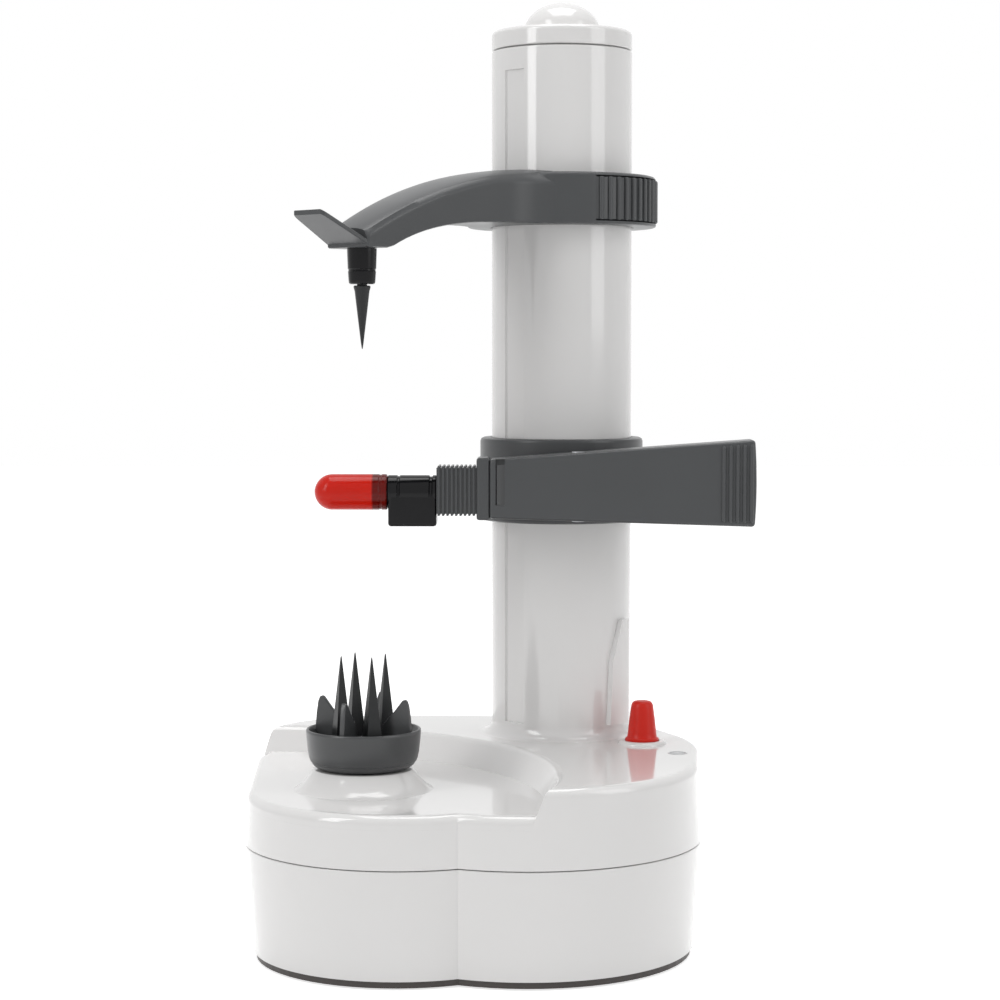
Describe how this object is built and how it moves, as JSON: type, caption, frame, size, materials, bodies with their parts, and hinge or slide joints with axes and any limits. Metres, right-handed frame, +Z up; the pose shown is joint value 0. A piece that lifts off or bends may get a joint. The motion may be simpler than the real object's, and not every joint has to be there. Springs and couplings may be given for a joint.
{
  "type": "electric potato peeler",
  "caption": "Electric potato peeler: spiked turning cup on a white base, column with a powered blade carriage, and a sliding upper arm with a free-turning spike.",
  "frame": {"origin": "on the column's axis, in the plane of the rubber feet, at the centre of the foot below the column", "axes": "+Z up along the column, +Y to the back of the base, +X to the side of the power button"},
  "size_m": [0.157, 0.1435, 0.29],
  "materials": {
    "white_plastic": "gloss",
    "dark_base_plastic": "satin",
    "foot_rubber": "matte",
    "grey_plastic": "satin",
    "spike_plastic": "satin",
    "black_plastic": "gloss",
    "lens_plastic": "gloss",
    "red_button_plastic": "satin",
    "red_guard_plastic": "translucent gloss",
    "blade_steel": "brushed",
    "steel": "satin",
    "gear_plastic": "satin",
    "pinion_brass": "satin",
    "gear_plate_plastic": "satin",
    "board_laminate": "satin",
    "cell_jacket": "gloss"
  },
  "bodies": {
    "base": {"upper_housing": "white_plastic", "lower_housing": "white_plastic", "bottom_plate": "dark_base_plastic", "rubber_feet": "foot_rubber", "battery_door": "dark_base_plastic", "battery_door_screw": "steel", "battery_cells": "cell_jacket", "battery_contacts": "steel", "housing_screws": "steel", "dc_jack": "black_plastic", "circuit_board": "board_laminate", "power_switch": "black_plastic", "button_seal": "foot_rubber", "indicator_lens": "lens_plastic", "motor": "steel", "motor_screws": "steel", "gear_plate": "gear_plate_plastic", "gear_plate_screws": "steel", "compound_pin": "steel", "idler_pin": "steel", "cup_bearing": "gear_plastic", "column_tube": "white_plastic", "column_cap": "white_plastic", "column_screws": "steel", "opening_ramp": "white_plastic", "screw_foot_bearing": "pinion_brass", "screw_top_bearing": "gear_plastic", "upper_limit_switch": "black_plastic", "lower_limit_switch": "black_plastic"},
    "turntable": {"cup_gear": "gear_plastic", "cup_spindle": "steel", "spiked_cup": "grey_plastic", "holding_spikes": "spike_plastic", "cup_screw": "steel"},
    "idler": {"idler_gear": "gear_plastic"},
    "compound": {"compound_gear": "gear_plastic"},
    "rotor": {"motor_pinion": "pinion_brass", "motor_shaft": "steel"},
    "screw": {"lead_screw": "steel", "screw_gear": "gear_plastic"},
    "carriage": {"carriage_collar": "grey_plastic", "carriage_nut": "gear_plastic", "carriage_screws": "steel", "pivot_pin": "steel", "arm_spring": "steel"},
    "peel_arm": {"peel_arm": "grey_plastic", "blade_neck": "grey_plastic", "blade_holder": "black_plastic", "peeling_blade": "blade_steel"},
    "guard": {"blade_guard": "red_guard_plastic"},
    "upper_arm": {"upper_arm": "grey_plastic", "spike_bush": "black_plastic"},
    "release": {"arm_release": "grey_plastic"},
    "top_spike": {"top_spike": "spike_plastic"},
    "button": {"power_button": "red_button_plastic"}
  },
  "joints": [
    {"name": "cup_spin", "type": "hinge", "parent": "base", "child": "turntable", "pos_m": [-0.059, -0.064, 0.04], "axis": [0, 0, 1], "range_deg": [-4500, 5760]},
    {"name": "idler_spin", "type": "hinge", "parent": "base", "child": "idler", "pos_m": [-0.02475, -0.03638, 0.04], "axis": [0, 0, 1], "range_deg": [-3841, 3001]},
    {"name": "compound_spin", "type": "hinge", "parent": "base", "child": "compound", "pos_m": [-0.04769, -0.01523, 0.04], "axis": [0, 0, 1], "range_deg": [-16501, 21121]},
    {"name": "motor_spin", "type": "hinge", "parent": "base", "child": "rotor", "pos_m": [-0.06328, -0.00623, 0.04], "axis": [0, 0, 1], "range_deg": [-105601, 82501]},
    {"name": "screw_spin", "type": "hinge", "parent": "base", "child": "screw", "pos_m": [0, 0, 0.04], "axis": [0, 0, 1], "range_deg": [-4501, 5761]},
    {"name": "carriage_lift", "type": "slide", "parent": "base", "child": "carriage", "axis": [0, 0, 1], "range_m": [-0.0641, 0.0501]},
    {"name": "arm_swing", "type": "hinge", "parent": "carriage", "child": "peel_arm", "pos_m": [0.005, -0.0376, 0.139], "axis": [0, 0, -1], "range_deg": [-24, 8], "stiffness_Nm_per_rad": 0.05},
    {"name": "guard_pull", "type": "slide", "parent": "peel_arm", "child": "guard", "axis": [-1, 0, 0], "range_m": [0, 0.035]},
    {"name": "upper_arm_slide", "type": "slide", "parent": "base", "child": "upper_arm", "axis": [0, 0, -1], "range_m": [-0.03, 0.055]},
    {"name": "release_press", "type": "slide", "parent": "upper_arm", "child": "release", "axis": [-0.891, 0.454, 0], "range_m": [0, 0.0015], "stiffness_N_per_m": 600},
    {"name": "spike_spin", "type": "hinge", "parent": "upper_arm", "child": "top_spike", "pos_m": [-0.059, -0.064, 0.2], "axis": [0, 0, 1], "continuous": true},
    {"name": "button_press", "type": "slide", "parent": "base", "child": "button", "axis": [0, 0, -1], "range_m": [0, 0.002], "stiffness_N_per_m": 800}
  ],
  "couplings": [
    {"joint": "idler_spin", "follows": "cup_spin", "ratio": -0.66667},
    {"joint": "compound_spin", "follows": "cup_spin", "ratio": 3.6667},
    {"joint": "motor_spin", "follows": "cup_spin", "ratio": -18.333},
    {"joint": "screw_spin", "follows": "cup_spin", "ratio": 1},
    {"joint": "carriage_lift", "follows": "cup_spin", "m_per_rad": -0.00063662}
  ]
}
